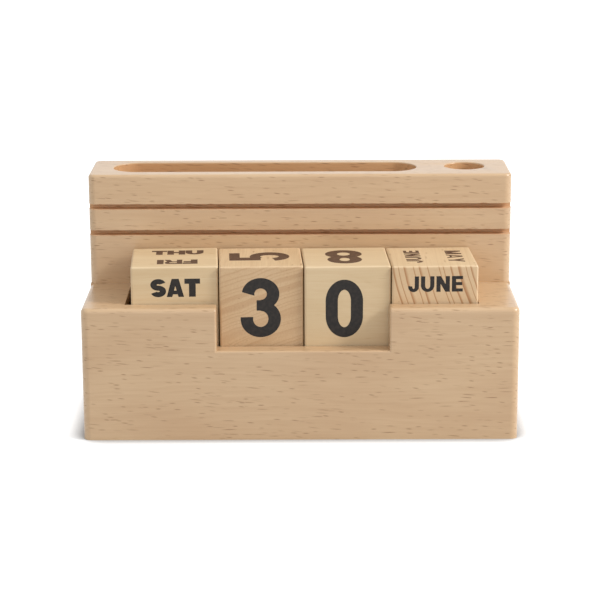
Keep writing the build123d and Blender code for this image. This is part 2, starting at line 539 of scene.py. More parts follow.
    def _edges(self, tree: Tree) -> Socket:
        """Finds the roundings, where the surface faces between two axes: sanded wear there, and a
        painted highlight.

        Args:
            tree: Node tree of the material.

        Returns:
            Share of the paler edge colour, partly sanded wear and partly painted highlight.
        """
        facing = add(tree, "ShaderNodeNewGeometry").outputs["Normal"]
        sizes = add(tree, "ShaderNodeVectorMath", {0: facing}, operation="ABSOLUTE")
        part = add(tree, "ShaderNodeSeparateXYZ", {0: sizes.outputs[0]})
        wide = add(tree, "ShaderNodeMath", {0: part.outputs[0], 1: part.outputs[1]}, operation="MAXIMUM")
        most = add(tree, "ShaderNodeMath", {0: wide.outputs[0], 1: part.outputs[2]}, operation="MAXIMUM")
        return add(tree, "ShaderNodeMapRange", {
            "Value": most.outputs[0],
            "From Min": self.rounding_facing[0], "From Max": self.rounding_facing[1],
            "To Min": 0.0, "To Max": self.edge_wear_and_highlight_strength,
        }, interpolation_type="SMOOTHSTEP").outputs[0]

    def _roughness(self, tree: Tree, fibres: Socket, flecks: Socket) -> Socket:
        """Varies the sheen a little with the fibres, and dulls it in the flecks.

        Args:
            tree: Node tree of the material.
            fibres: Fibre noise from 0 to 1.
            flecks: Ray flecks from 0 to 1.

        Returns:
            Roughness from 0 to 1.
        """
        less, more = self.sheen
        sheen = add(tree, "ShaderNodeMapRange", {
            "Value": fibres, "To Min": self.roughness - less, "To Max": self.roughness + more,
        })
        return add(tree, "ShaderNodeMath", {
            0: flecks, 1: self.fleck_dulling, 2: sheen.outputs[0],
        }, operation="MULTIPLY_ADD").outputs[0]

    def _relief(self, tree: Tree, fibres: Socket, flecks: Socket) -> Socket:
        """Raises the fibres by hundredths of a millimetre and sinks the flecks.

        Args:
            tree: Node tree of the material.
            fibres: Fibre noise from 0 to 1.
            flecks: Ray flecks from 0 to 1.

        Returns:
            The bumped normal.
        """
        height = add(tree, "ShaderNodeMath", {0: flecks, 1: -0.5, 2: fibres}, operation="MULTIPLY_ADD")
        return add(tree, "ShaderNodeBump", {
            "Strength": 0.3, "Distance": self.relief_mm * MM, "Height": height.outputs[0],
        }).outputs[0]


# Beech, planed, sanded and given a clear satin lacquer. Pinkish tan with short dark ray flecks,
# and a sheen that turns the top nearly white when it is seen at a low angle.
LACQUERED_BEECH = Wood(
    name="lacquered_planed_beech", pale="#CFB08A", deep="#C5A37D", ring_colour="#AE8862",
    fleck_colour="#8F6A45", edge_wear_and_highlight_colour="#DCC3A0", coat=0.38,
)
# The same beech on the walls that a router leaves: unlacquered, duller and warmer.
ROUTED_BEECH = Wood(
    name="routed_bare_beech", pale="#DAAC7C", deep="#CD9F6F", ring_colour="#B08255",
    fleck_colour="#966A45", edge_wear_and_highlight_colour="#DAAC7C", edge_wear_and_highlight_strength=0.0, roughness=0.6,
)
# Beech as the saw leaves it inside the kerfs: bare, pale and matt, and brown to the eye only
# because light reaches it after several turns between the walls.
SAWN_BEECH = Wood(
    name="sawn_bare_beech", pale="#E6C096", deep="#DDB48A", ring_colour="#B98D62",
    fleck_colour="#9C7048", edge_wear_and_highlight_colour="#E6C096", edge_wear_and_highlight_strength=0.0, roughness=0.75,
)
# Beech of the drawer, sanded and left bare.
SANDED_BEECH = Wood(
    name="sanded_bare_beech", pale="#D3B48E", deep="#C8A67F", ring_colour="#B5906A",
    fleck_colour="#997149", edge_wear_and_highlight_colour="#DCC3A0", roughness=0.55, ring_spacing=3.1,
)
# Birch plywood face, peeled from the log: broad, faint figure and few flecks.
PEELED_BIRCH = Wood(
    name="sanded_birch_plywood", pale="#DDC39C", deep="#D2B58B", ring_colour="#BE9C70",
    fleck_colour="#A98355", edge_wear_and_highlight_colour="#DDC39C", ring_spacing=7.0, ring_strength=0.35,
    ring_waver=5.0, fleck_share=0.12, roughness=0.6, edge_wear_and_highlight_strength=0.0,
)
# Linden of the weekday cube, sanded and bare: creamy, close-grained, almost without figure.
SANDED_LINDEN = Wood(
    name="sanded_linden", pale="#DCC5A0", deep="#D3BA93", ring_colour="#C09D70",
    fleck_colour="#A67F52", edge_wear_and_highlight_colour="#EBD5B5", ring_spacing=4.2, ring_strength=0.16,
    end_ring_strength=0.3, fleck_share=0.06, fleck_strength=0.45, roughness=0.6,
    edge_wear_and_highlight_strength=0.30, pith=(-120.0, 400.0),
)
# A smoother board of the same linden for the units cube.
SMOOTH_LINDEN = Wood(
    name="sanded_smooth_linden", pale="#D8C09B", deep="#D0B790", ring_colour="#BF9D72",
    fleck_colour="#A67F52", edge_wear_and_highlight_colour="#E8D2B1", ring_spacing=3.6, ring_strength=0.10,
    end_ring_strength=0.2, fleck_share=0.06, fleck_strength=0.35, roughness=0.6,
    edge_wear_and_highlight_strength=0.30, pith=(300.0, 200.0),
)
# Alder of the tens cube, sanded and bare. Its front is end grain, orange-brown with growth lines
# that rise to the right, and its top is paler and plain.
SANDED_ALDER = Wood(
    name="sanded_orange_alder", pale="#DCC19A", deep="#D2B48B", ring_colour="#9C6B3E",
    fleck_colour="#8A5E36", edge_wear_and_highlight_colour="#E6CDA9", ring_spacing=2.6, ring_strength=0.10,
    end_ring_strength=0.21, end_shade=0.25, late_wood=(0.55, 0.94), ring_waver=1.2,
    fleck_share=0.08, fleck_strength=0.5, roughness=0.45, edge_wear_and_highlight_strength=0.30,
    pith=(-50.3, -126.6),
)
# Pine of the month cube, cut so that its front is end grain: thin brown lines 3.5 mm apart,
# and a plain top and sides.
END_GRAIN_PINE = Wood(
    name="sanded_end_grain_pine", pale="#DDC39D", deep="#D3B78F", ring_colour="#A06A3A",
    fleck_colour="#8A5E36", edge_wear_and_highlight_colour="#EAD3B0", ring_spacing=3.5, ring_strength=0.10,
    end_ring_strength=0.75, end_shade=0.14, late_wood=(0.68, 0.94), ring_waver=0.5,
    fibre_strength=0.05, fleck_share=0.05, fleck_strength=0.3, roughness=0.45, edge_wear_and_highlight_strength=0.30,
    pith=(-251.0, 129.0),
)


@dataclass(frozen=True)
class StampedInk:
    """Ink stamped on sanded wood: matt, slightly soaked in, mottled where the pad was dry."""

    name: str
    full: str
    thin: str
    roughness: float = 0.85
    mottle_mm: float = 1.5
    relief_mm: float = 0.02

    def material(self) -> bpy.types.Material:
        """Makes the node material.

        Returns:
            The material.
        """
        material, tree = blank_material(self.name)
        place = add(tree, "ShaderNodeTexCoord").outputs["Object"]
        mottle = add(tree, "ShaderNodeTexNoise", {
            "Vector": place, "Scale": 1 / (self.mottle_mm * MM), "Detail": 3.0,
        }).outputs[0]
        share = add(tree, "ShaderNodeMapRange", {
            "Value": mottle, "From Min": 0.4, "From Max": 0.75,
        })
        ramp = add(tree, "ShaderNodeValToRGB", {0: share.outputs[0]})
        ramp.color_ramp.elements[0].color = linear(self.full)
        ramp.color_ramp.elements[1].color = linear(self.thin)
        relief = add(tree, "ShaderNodeBump", {
            "Strength": 0.3, "Distance": self.relief_mm * MM, "Height": mottle,
        })
        surface = add(tree, "ShaderNodeBsdfPrincipled", {
            "Base Color": ramp.outputs[0], "Roughness": self.roughness, "Normal": relief.outputs[0],
        })
        add(tree, "ShaderNodeOutputMaterial", {"Surface": surface.outputs[0]})
        return material


# Black stamping ink, dense and matt.
BLACK_INK = StampedInk("stamped_black_ink", full="#1E1B19", thin="#302A26")
# The same ink on the tops in a lighter brown: painted sheen, the glancing reflection that the tops show.
TOP_SHEEN_INK = StampedInk("painted_sheen_brown_ink", full="#523823", thin="#644730")


@dataclass(frozen=True)
class Stroke:
    """One stroke of a letter: cross-sections from edge to edge, joined in a ring or not."""

    sections: tuple[Section, ...]
    closed: bool = False


@dataclass(frozen=True)
class Alphabet:
    """Heavy upright lettering of one stroke weight, drawn for a cap height of one.

    Numbers in its methods are places and shares in the shape of a letter, and angles in degrees.

    Attributes:
        stem: Thickness of upright strokes.
        hair: Thickness of level strokes.
        width: Width of a plain letter such as T.
        gap: Space between two letters.
        broad: Width of the broad letters, such as H, as a share of the plain ones.
        lean: Half width of the level end of a slanted stroke, as a share of the stem.
        steps: Sections in a full turn.
    """

    stem: float
    hair: float
    width: float
    gap: float = 0.10
    broad: float = 1.0
    lean: float = 0.56
    steps: int = 64

    def lighter(self) -> "Alphabet":
        """Gives the same lettering with thinner strokes, for letters that would close up."""
        return replace(self, stem=self.stem * 0.8, hair=self.hair * 0.75)

    def upright(self, x: float, low: float = 0.0, high: float = 1.0) -> Stroke:
        """Draws a stem with its left edge at x."""
        return Stroke((((x, low), (x + self.stem, low)), ((x, high), (x + self.stem, high))))

    def level(self, left: float, right: float, middle: float) -> Stroke:
        """Draws a level bar.

        Args:
            left: Its left end.
            right: Its right end.
            middle: Height of its middle.

        Returns:
            The stroke.
        """
        low = middle - self.hair / 2
        high = middle + self.hair / 2
        return Stroke((((left, low), (left, high)), ((right, low), (right, high))))

    def slant(self, foot: float, head: float, low: float = 0.0, high: float = 1.0) -> Stroke:
        """Draws a slanted stem between the middles of its level-cut foot and head.

        Args:
            foot: Middle of its lower end.
            head: Middle of its upper end.
            low: Height of the lower end.
            high: Height of the upper end.

        Returns:
            The stroke.
        """
        slope = math.hypot(head - foot, high - low) / (high - low)
        half = self.stem * min(slope, 1.6) / 2
        return Stroke((
            ((foot - half, low), (foot + half, low)), ((head - half, high), (head + half, high)),
        ))

    def arc(
        self, middle: tuple[float, float], reach: tuple[float, float], start: float, end: float,
        splay: tuple[float, float] = (0.0, 0.0), straight: float = 0.0,
    ) -> Stroke:
        """Draws a curved stroke inside an ellipse.

        Args:
            middle: Centre of the ellipse.
            reach: Its outer half width and half height.
            start: First angle in degrees.
            end: Last angle in degrees, 360 on for a whole ring.
            splay: Degrees that the inner edge runs on at each end, for an end that is cut aslant.
            straight: Half length of the upright sides between the two halves of the ellipse.

        Returns:
            The stroke.
        """
        closed = abs(end - start) >= 360
        count = max(6, round(self.steps * abs(end - start) / 360))
        inner = (max(reach[0] - self.stem, reach[0] / 5), max(reach[1] - self.hair, reach[1] / 8))
        sections = []
        for step in range(count if closed else count + 1):
            part = step / count
            outer_angle = math.radians(start + (end - start) * part)
            inner_angle = outer_angle + math.radians(splay[0] * (1 - part) + splay[1] * part)
            y = middle[1] + math.copysign(straight, math.sin(outer_angle))
            sections.append((
                (middle[0] + inner[0] * math.cos(inner_angle), y + inner[1] * math.sin(inner_angle)),
                (middle[0] + reach[0] * math.cos(outer_angle), y + reach[1] * math.sin(outer_angle)),
            ))
        return Stroke(tuple(sections), closed)

    def glyph(self, sign: str) -> tuple[list[Stroke], float]:
        """Draws one letter or digit.

        Args:
            sign: A capital letter or a digit.

        Returns:
            Its strokes, and its width.
        """
        if sign.isdigit():
            return self._figure(sign)
        wide, stem, hair = self.width, self.stem, self.hair
        half = wide / 2
        full = wide * self.broad
        top = 1 - hair / 2
        foot = hair / 2
        bowl = 0.25 + hair / 4
        match sign:
            case "A":
                pen = self.lighter()
                spread = wide + 0.12
                edge = pen.stem * pen.lean
                return [pen.slant(edge, spread / 2 - 0.04), pen.slant(spread - edge, spread / 2 + 0.04),
                        pen.level(edge + 0.08, spread - edge - 0.08, 0.25)], spread
            case "B" | "P" | "R" | "D":
                return self._bowled(sign)
            case "C" | "G":
                ring = [self.arc((half, 0.5), (half, 0.5), 42, 318)]
                if sign == "G":
                    ring += [self.upright(wide - stem, 0.12, 0.52), self.level(half, wide, 0.46)]
                return ring, wide
            case "E" | "F":
                arm = full * 0.82
                bars = [self.upright(0), self.level(stem / 2, arm, top),
                        self.level(stem / 2, arm * 0.94, 0.51)]
                return bars + ([self.level(stem / 2, arm, foot)] if sign == "E" else []), arm
            case "H":
                return [self.upright(0), self.upright(full - stem),
                        self.level(stem / 2, full - stem / 2, 0.5)], full
            case "I":
                return [self.upright(0)], stem
            case "J":
                reach = wide * 0.40
                return [self.upright(2 * reach - stem, reach, 1.0),
                        self.arc((reach, reach), (reach, reach), 170, 360)], 2 * reach
            case "L":
                return [self.upright(0), self.level(stem / 2, wide * 0.78, foot)], wide * 0.78
            case "M":
                span = wide + 0.16
                return [self.upright(0), self.upright(span - stem), self.slant(span / 2, stem / 2),
                        self.slant(span / 2, span - stem / 2)], span
            case "N":
                return [self.upright(0), self.upright(full - stem),
                        self.slant(full - stem / 2, stem / 2)], full
            case "O":
                return [self.arc((half + 0.02, 0.5), (half + 0.02, 0.5), 0, 360)], wide + 0.04
            case "S":
                return [self.arc((half, 1 - bowl), (half, bowl), 22, 270),
                        self.arc((half, bowl), (half, bowl), 90, -158)], wide
            case "T":
                return [self.level(0, wide, top), self.upright(half - stem / 2, 0, top)], wide
            case "U":
                middle = full / 2
                return [self.upright(0, middle, 1.0), self.upright(full - stem, middle, 1.0),
                        self.arc((middle, middle), (middle, middle), 180, 360)], full
            case "V" | "W" | "Y":
                return self._forked(sign)
        raise ValueError(f"no glyph for {sign!r}")

    def _figure(self, sign: str) -> tuple[list[Stroke], float]:
        """Draws one digit.

        Args:
            sign: A digit.

        Returns:
            Its strokes, and its width.
        """
        wide, stem, hair = self.width, self.stem, self.hair
        half = wide / 2
        top = 1 - hair / 2
        bowl = 0.25 + hair / 4
        match sign:
            case "1":
                edge = half * 0.7
                return [self.upright(edge), self.slant(edge / 2, edge + stem / 2, 0.7, 1.0)], edge + stem
            case "2":
                return [self.arc((half, 1 - bowl), (half, bowl), 170, -40),
                        self.slant(stem * 0.55, wide - stem * 0.62, hair / 2, 0.56),
                        self.level(0, wide, hair / 2)], wide
            case "3":
                # The lower bowl is the larger: the bowls share the bar between 0.458 and 0.62.
                low_reach = 0.31
                high_reach = 0.271
                wide *= 1.05
                half = wide / 2
                return [self.arc((half, 1 - high_reach), (half * 0.93, high_reach), 172, -90, (23, 0)),
                        self.arc((half, low_reach), (half, low_reach), 90, -186, (0, -9)),
                        self.level(wide * 0.4, half * 1.2, 0.539)], wide
            case "4":
                return [self.upright(wide * 0.52), self.level(0, wide, 0.28),
                        self.slant(stem * 0.55, wide * 0.5, 0.26, 1.0)], wide
            case "5":
                return [self.level(0.05, wide * 0.94, top), self.upright(0.05, 0.48, top),
                        self.arc((half, 0.33), (half, 0.33), 128, -165)], wide
            case "7":
                return [self.level(0, wide, top),
                        self.slant(half * 0.6, wide - stem * 0.6, 0, top)], wide
            case "8":
                return [self.arc((half, bowl), (half, bowl), 0, 360),
                        self.arc((half, 1 - bowl), (half * 0.93, bowl), 0, 360)], wide
            case "6":
                return [self.arc((half, 0.33), (half, 0.33), 0, 360),
                        self.arc((half, 0.5), (half, 0.5), 48, 190)], wide
            case "0":
                cap = 0.37
                return [self.arc((half, 0.5), (half, cap), 0, 360, straight=0.5 - cap)], wide
        raise ValueError(f"no figure for {sign!r}")

    def _bowled(self, sign: str) -> tuple[list[Stroke], float]:
        """Draws a letter that is a stem with one or two bowls at its right.

        Args:
            sign: B, D, P or R.

        Returns:
            Its strokes, and its width.
        """
        pen = self if sign == "D" else self.lighter()
        wide, stem, hair = self.width * self.broad, pen.stem, pen.hair
        top = 1 - hair / 2
        if sign == "D":
            turn = 0.5
            edge = wide - turn
            return [pen.upright(0), pen.level(stem / 2, edge, top), pen.level(stem / 2, edge, hair / 2),
                    pen.arc((edge, turn), (turn, turn), -90, 90)], wide
        bowl = 0.25 + hair / 4
        edge = wide * 0.96 - bowl
        middle = 1 - 2 * bowl + hair / 2
        strokes = [pen.upright(0), pen.level(stem / 2, edge, top), pen.level(stem / 2, edge, middle),
                   pen.arc((edge, 1 - bowl), (bowl, bowl), -90, 90)]
        if sign == "B":
            strokes += [pen.level(stem / 2, edge, hair / 2),
                        pen.arc((edge, bowl), (bowl * 1.06, bowl), -90, 90)]
        if sign == "R":
            strokes += [pen.slant(wide - stem * 0.62, edge, 0, middle)]
        return strokes, wide

    def _forked(self, sign: str) -> tuple[list[Stroke], float]:
        """Draws a letter whose slanted strokes meet at the foot or at half height.

        Args:
            sign: V, W or Y.

        Returns:
            Its strokes, and its width.
        """
        wide = self.width + 0.10
        edge = self.stem * self.lean
        if sign == "Y":
            mid = wide / 2
            return [self.upright(mid - self.stem / 2, 0, 0.5), self.slant(mid, edge, 0.38, 1.0),
                    self.slant(mid, wide - edge, 0.38, 1.0)], wide
        pairs = 1 if sign == "V" else 2
        span = wide if sign == "V" else wide * 0.72
        strokes = []
        for pair in range(pairs):
            left = pair * (span - 2 * edge)
            strokes += [self.slant(left + span / 2, left + edge),
                        self.slant(left + span / 2, left + span - edge)]
        return strokes, span + (pairs - 1) * (span - 2 * edge)

    def word(self, text: str) -> tuple[list[list[Stroke]], float]:
        """Sets a word on one line.

        Args:
            text: Capital letters or digits.

        Returns:
            The strokes of each letter, shifted to its place, and the width of the word.
        """
        letters = []
        place = 0.0
        for sign in text:
            strokes, advance = self.glyph(sign)
            shifted = []
            for stroke in strokes:
                sections = tuple(tuple((x + place, y) for x, y in part) for part in stroke.sections)
                shifted.append(Stroke(sections, stroke.closed))
            letters.append(shifted)
            place += advance + self.gap
        return letters, place - self.gap


FIGURES = Alphabet(stem=0.205, hair=0.175, width=0.63)
HEAVY_WORDS = Alphabet(stem=0.36, hair=0.28, width=0.836, gap=0.02, broad=1.18)
ROUND_WORDS = Alphabet(stem=0.26, hair=0.20, width=0.837, gap=0.13)


class Face(Enum):
    """Side of a block: its right, up and outward directions, and where its lower left corner lies."""

    FRONT = ((1, 0, 0), (0, 0, 1), (0, -1, 0), (0, 0, 0))
    BACK = ((-1, 0, 0), (0, 0, 1), (0, 1, 0), (1, 1, 0))
    LEFT = ((0, -1, 0), (0, 0, 1), (-1, 0, 0), (0, 1, 0))
    RIGHT = ((0, 1, 0), (0, 0, 1), (1, 0, 0), (1, 0, 0))
    TOP = ((1, 0, 0), (0, 1, 0), (0, 0, 1), (0, 0, 1))
    UNDER = ((1, 0, 0), (0, -1, 0), (0, 0, -1), (0, 1, 0))


@dataclass(frozen=True)
class Legend:
    """One word or figure stamped on a block.

    Attributes:
        text: What it says.
        face: Side of the block.
        middle_mm: Its middle, from the face's lower left corner.
        height_mm: Height of its letters.
        turn: Its turn on the face in degrees, counter-clockwise.
        alphabet: Its lettering.
    """

    text: str
    face: Face
    middle_mm: tuple[float, float]
    height_mm: float
    turn: float = 0.0
    alphabet: Alphabet = FIGURES

    def layers(self, size: Vector) -> list[list[Placed]]:
        """Places the strokes on the block.

        Args:
            size: Width, depth and height of the block in metres.

        Returns:
            Layers of strokes that don't touch within a layer, each as pairs of points and whether
            it is a closed ring.
        """
        right, up, _, corner = (Vector(part) for part in self.face.value)
        letters, length = self.alphabet.word(self.text)
        height = self.height_mm * MM
        angle = math.radians(self.turn)
        start = Vector(part * edge for part, edge in zip(corner, size))
        middle = start + (right * self.middle_mm[0] + up * self.middle_mm[1]) * MM
        across = right * math.cos(angle) + up * math.sin(angle)
        upward = up * math.cos(angle) - right * math.sin(angle)
        layers: list[list[Placed]] = []
        for strokes in letters:
            for depth, stroke in enumerate(strokes):
                pairs = [
                    tuple(
                        middle + across * (x - length / 2) * height + upward * (y - 0.5) * height
                        for x, y in section
                    )
                    for section in stroke.sections
                ]
                while len(layers) <= depth:
                    layers.append([])
                layers[depth].append((pairs, stroke.closed))
        return layers


@dataclass
class CalendarBlock:
    """Loose wooden cube with a stamped legend on each side.

    Attributes:
        node: Its node in the frame.
        body: Body that it moves with.
        width: Its width, which differs a little from its edge.
        turn: How far it stands turned in the pocket, in degrees.
        finish: Its wood.
        grain: Direction of its fibres.
        legends: What is stamped on it.
        shift: Its place in the plank, in millimetres.
        softness: How far the ink rounds the corners of the letters.
        edge: Its depth and height.
        rounding: Radius of its sanded edges.
        ink_height: How far the ink stands out.
        ink_depth: How far it soaks in.
        most_strokes: Strokes of the letter that has the most.
        corner_angle: Least turn of an outline that counts as a corner.
        corner_segments: Facets of a rounded corner.
        weld: Points closer than this become one.
        flat_angle: Faces that differ less than this become one.
    """

    node: str
    body: str
    width: float
    turn: float
    finish: Wood
    grain: Grain
    legends: list[Legend]
    shift: tuple[float, float, float] = (0.0, 0.0, 0.0)
    softness: float = 0.4 * MM
    edge: float = 40 * MM
    rounding: float = 1 * MM
    ink_height: float = 0.03 * MM
    ink_depth: float = 0.03 * MM
    most_strokes: int = 6
    corner_angle: float = math.radians(35)
    corner_segments: int = 3
    weld: float = 0.002 * MM
    flat_angle: float = math.radians(1)

    def build(self, fresh: bpy.types.Material, sheened_top_ink: bpy.types.Material) -> bpy.types.Object:
        """Dresses the cube and stamps its legends.

        Args:
            fresh: Ink of the sides.
            sheened_top_ink: Ink of the top, a lighter brown that is painted sheen.

        Returns:
            The ink, which rides on the cube's body.
        """
        dress(self.node, self.finish.material(self.grain, self.shift))
        ink = self._ink_layer(0)
        for depth in range(1, self.most_strokes):
            layer = self._ink_layer(depth)
            if layer is not None:
                combine(ink, layer, Boolean.JOINED_ON)
        self._soften(ink)
        ink.data.materials.clear()
        ink.data.materials.append(fresh)
        ink.data.materials.append(sheened_top_ink)
        # Faces on the top take the lighter brown ink, a painted sheen.
        for face in ink.data.polygons:
            face.material_index = int(face.center.z > self.edge - self.rounding / 2)
        ink.data.transform(self._place())
        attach(ink, self.body)
        return ink

    def _place(self) -> Matrix:
        """Gives the cube's place from its box: its front left corner and its turn about it.

        Returns:
            The matrix from the cube's own frame to the shared one.
        """
        low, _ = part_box(self.node)
        angle = math.radians(self.turn)
        sine, cosine = math.sin(angle), math.cos(angle)
        # The box touches the cube's roundings, and not the sharp corners that they cut off.
        left = low.x + (self.edge - self.rounding) * sine + self.rounding * (1 - cosine)
        near = low.y + self.rounding * (1 - sine - cosine)
        return Matrix.Translation((left, near, low.z)) @ Matrix.Rotation(angle, 4, "Z")

    def _ink_layer(self, depth: int) -> bpy.types.Object | None:
        """Builds the strokes of one layer as thin solids on all sides.

        Args:
            depth: Number of the layer.

        Returns:
            The strokes in one object, or None where no letter has so many strokes.
        """
        mesh = bmesh.new()
        size = Vector((self.width, self.edge, self.edge))
        for legend in self.legends:
            layers = legend.layers(size)
            outward = Vector(legend.face.value[2])
            for pairs, closed in layers[depth] if depth < len(layers) else []:
                rings = [
                    [mesh.verts.new(point + outward * rise) for point, rise in (
                        (first, -self.ink_depth), (second, -self.ink_depth),
                        (second, self.ink_height), (first, self.ink_height),
                    )]
                    for first, second in pairs
                ]
                close_tube(mesh, rings, closed)
        if not mesh.verts:
            mesh.free()
            return None
        return loose_mesh(f"{self.body}_ink", mesh)

    def _soften(self, ink: bpy.types.Object) -> None:
        """Merges what the unions left flat, and rounds the corners of the letters.

        Args:
            ink: The strokes, in the cube's own frame.
        """
        thickness = self.ink_height + self.ink_depth
        slack = 0.005 * MM
        with opened(ink.data) as mesh:
            bmesh.ops.remove_doubles(mesh, verts=mesh.verts, dist=self.weld)
            bmesh.ops.dissolve_limit(
                mesh, angle_limit=self.flat_angle, verts=mesh.verts, edges=mesh.edges,
            )
            corners = [
                edge for edge in mesh.edges
                if len(edge.link_faces) == 2 and abs(edge.calc_length() - thickness) < slack
                and edge.calc_face_angle() > self.corner_angle
            ]
            bmesh.ops.bevel(
                mesh, geom=corners, offset=self.softness, segments=self.corner_segments,
                profile=0.5, affect="EDGES", clamp_overlap=True,
            )
            bmesh.ops.triangulate(mesh, faces=[face for face in mesh.faces if len(face.verts) > 4])


@dataclass
class RearBlock:
    """Tall block with chipped saw kerfs, a routed card slot and a pen hole.

    Attributes:
        kerf_height: Width of the saw cut.
        kerf_depth: How far it goes in from the front.
        kerf_drop: From the top of the block to the top of the first kerf.
        kerf_pitch: From one kerf to the next.
        kerf_count: Number of kerfs.
        mouth_edge: Radius of the slot's softened mouth.
        front_edge: Stretch at each end of a kerf without chips.
        chip_length_mm: Shortest and longest chip.
        chip_depth_mm: How far the chips reach in.
        chip_height_mm: How far they climb the front face, before they grow to the right.
        chip_gap_mm: Least and most room between two chips.
        chip_growth: Factor on that height at the left end, and what it gains to the right end.
        chip_steps: Sections of a chip.
        smooth_angle: Faces that meet at less than this are shaded as one surface.
        least_angle: Faces that meet at less than this count as one flat face.
        flat_area: Least area of a large flat face.
        shift: Place of the block in its plank, in millimetres.
        seed: Start of the random draws.
    """

    kerf_height: float = 2.6 * MM
    kerf_depth: float = 5.8 * MM
    kerf_drop: float = 14.4 * MM
    kerf_pitch: float = 12.8 * MM
    kerf_count: int = 2
    mouth_edge: float = 0.6 * MM
    front_edge: float = 4.5 * MM
    chip_length_mm: tuple[float, float] = (0.8, 4.2)
    chip_depth_mm: tuple[float, float] = (0.15, 0.75)
    chip_height_mm: tuple[float, float] = (0.08, 0.55)
    chip_gap_mm: tuple[float, float] = (0.2, 6.0)
    chip_growth: tuple[float, float] = (0.6, 0.6)
    chip_steps: int = 8
    smooth_angle: float = math.radians(28)
    least_angle: float = math.radians(1)
    flat_area: float = 20 * MM * MM
    shift: tuple[float, float, float] = (31.0, 12.0, -47.0)
    seed: int = 11

    def build(self) -> bpy.types.Object:
        """Chips a copy of the block and gives its outside, routed and sawn walls their finishes.

        Returns:
            The detailed block, which stands for the plain one.
        """
        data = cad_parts["rear_block"].data.copy()
        data.name = "rear_block_detailed"
        # Normals stored with the plain block no longer fit once its faces are cut.
        stored = data.attributes.get("custom_normal")
        if stored is not None:
            data.attributes.remove(stored)
        with opened(data) as mesh:
            bmesh.ops.remove_doubles(mesh, verts=mesh.verts, dist=0.001 * MM)
        piece = put("rear_block_detailed", data)
        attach(piece, "base")
        draw = random.Random(self.seed)
        for kerf in range(self.kerf_count):
            combine(piece, self._chips(kerf, draw), Boolean.CARVED_AWAY)
        self._paint(piece)
        self._flatten(piece)
        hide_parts("rear_block")
        return piece

    def _flatten(self, piece: bpy.types.Object) -> None:
        """Ends the smooth shading where a large flat face starts, so that only roundings blend.

        Args:
            piece: The detailed block, with its sharp edges marked.
        """
        with opened(piece.data) as mesh:
            for edge in mesh.edges:
                if len(edge.link_faces) == 2 and edge.calc_face_angle() > self.least_angle:
                    if max(face.calc_area() for face in edge.link_faces) > self.flat_area:
                        edge.smooth = False

    def _kerf(self, index: int) -> tuple[float, float]:
        """Gives the lower and upper height of a kerf."""
        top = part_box("rear_block")[1].z - self.kerf_drop - index * self.kerf_pitch
        return top - self.kerf_height, top

    def _chips(self, kerf: int, draw: random.Random) -> bpy.types.Object:
        """Builds the splinters that the saw tore from the upper edge of one kerf.

        Args:
            kerf: Number of the kerf, from the top.
            draw: Source of random sizes.

        Returns:
            The chips in one object.
        """
        low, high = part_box("rear_block")
        _, roof = self._kerf(kerf)
        least, more = self.chip_growth
        mesh = bmesh.new()
        place = low.x + self.front_edge
        while place < high.x - self.front_edge:
            growth = least + more * (place - low.x) / (high.x - low.x)
            length = draw.uniform(*self.chip_length_mm) * MM
            deep = draw.uniform(*self.chip_depth_mm) * MM
            tall = draw.uniform(*self.chip_height_mm) * MM * growth
            self._chip(mesh, Vector((place, low.y, roof)), length, deep, tall)
            place += length + draw.uniform(*self.chip_gap_mm) * MM
        return loose_mesh("chips", mesh)

    def _chip(
        self, mesh: bmesh.types.BMesh, corner: Vector, length: float, deep: float, tall: float,
    ) -> None:
        """Adds one chip: a wedge along the edge that swells and tapers off.

        Args:
            mesh: Mesh that takes it.
            corner: Its left end, on the edge.
            length: Its length along the edge.
            deep: How far it reaches into the block.
            tall: How far it climbs the front face.
        """
        spare = 0.2 * MM
        steps = self.chip_steps
        rings = []
        for step in range(steps + 1):
            swell = math.sin(math.pi * step / steps) ** 0.6 if 0 < step < steps else 0.0
            x = corner.x + length * step / steps
            rings.append([mesh.verts.new(point) for point in (
                (x, corner.y - spare, corner.z - spare),
                (x, corner.y + deep * swell, corner.z - spare),
                (x, corner.y + deep * swell * 0.8, corner.z - spare * 0.1),
                (x, corner.y - spare, corner.z + tall * swell - spare * 0.1),
            )])
        close_tube(mesh, rings, False)

    def _paint(self, piece: bpy.types.Object) -> None:
        """Gives each face the finish of the tool that made it, and smooths the roundings.

        Args:
            piece: The detailed block.
        """
        piece.data.materials.clear()
        for finish in (LACQUERED_BEECH, ROUTED_BEECH, SAWN_BEECH):
            piece.data.materials.append(finish.material(Grain.LENGTHWISE, self.shift))
        planed, routed, sawn = range(3)
        low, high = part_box("rear_block")
        kerfs = [self._kerf(index) for index in range(self.kerf_count)]
        slack = 0.01 * MM
        rim = 5 * MM
        for face in piece.data.polygons:
            middle = face.center
            face.use_smooth = True
            face.material_index = planed
            inside = low.x + rim < middle.x < high.x - rim and low.y + rim < middle.y < high.y - rim
            if inside and low.z + rim < middle.z < high.z - self.mouth_edge * 0.9:
                face.material_index = routed
            for floor, roof in kerfs:
                in_kerf = floor - slack <= middle.z <= roof + slack
                if in_kerf and low.y + slack < middle.y <= low.y + self.kerf_depth + slack:
                    face.material_index = sawn
        piece.data.set_sharp_from_angle(angle=self.smooth_angle)


